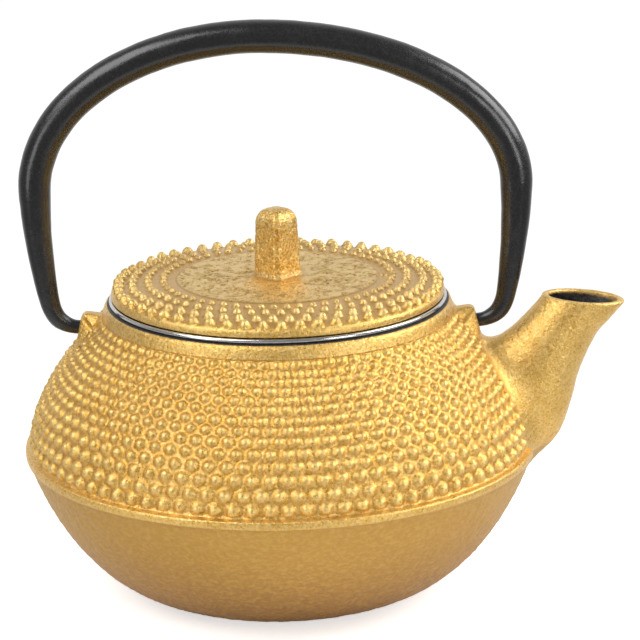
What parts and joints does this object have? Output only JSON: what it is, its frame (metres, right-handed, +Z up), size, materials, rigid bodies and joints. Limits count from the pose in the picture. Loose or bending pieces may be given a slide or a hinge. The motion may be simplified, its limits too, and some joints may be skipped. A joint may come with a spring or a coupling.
{
  "type": "cast iron teapot",
  "caption": "Round cast iron teapot with a studded shoulder, short spout, swinging bail handle, lift-off lid with a square knob, and a lift-out steel infuser.",
  "frame": {"origin": "centre of the flat foot's underside, on the pot's axis", "axes": "+Z up along the pot's axis, +X towards the spout's lip, bail hinge line parallel to X"},
  "size_m": [0.1324, 0.1128, 0.1253],
  "materials": {
    "gold_casting": "metallic gold paint over fine cast texture",
    "black_bail": "satin black enamel",
    "stainless_rim": "polished",
    "stainless_mesh": "fine woven wire"
  },
  "bodies": {
    "pot": {"pot_body": "gold_casting"},
    "bail": {"bail_handle": "black_bail"},
    "infuser": {"infuser_rim": "stainless_rim", "infuser_wall_mesh": "stainless_mesh", "infuser_bottom_mesh": "stainless_mesh", "infuser_bottom_band": "stainless_rim"},
    "cover": {"lid": "gold_casting"}
  },
  "joints": [
    {"name": "bail_swing", "type": "hinge", "parent": "pot", "child": "bail", "pos_m": [0, 0, 0.0581], "axis": [1, 0, 0], "range_deg": [-84, 84]},
    {"name": "infuser_lift", "type": "slide", "parent": "pot", "child": "infuser", "axis": [0, 0, 1], "range_m": [0, 0.032]},
    {"name": "lid_lift", "type": "slide", "parent": "infuser", "child": "cover", "axis": [0, 0, 1], "range_m": [0, 0.032]}
  ]
}
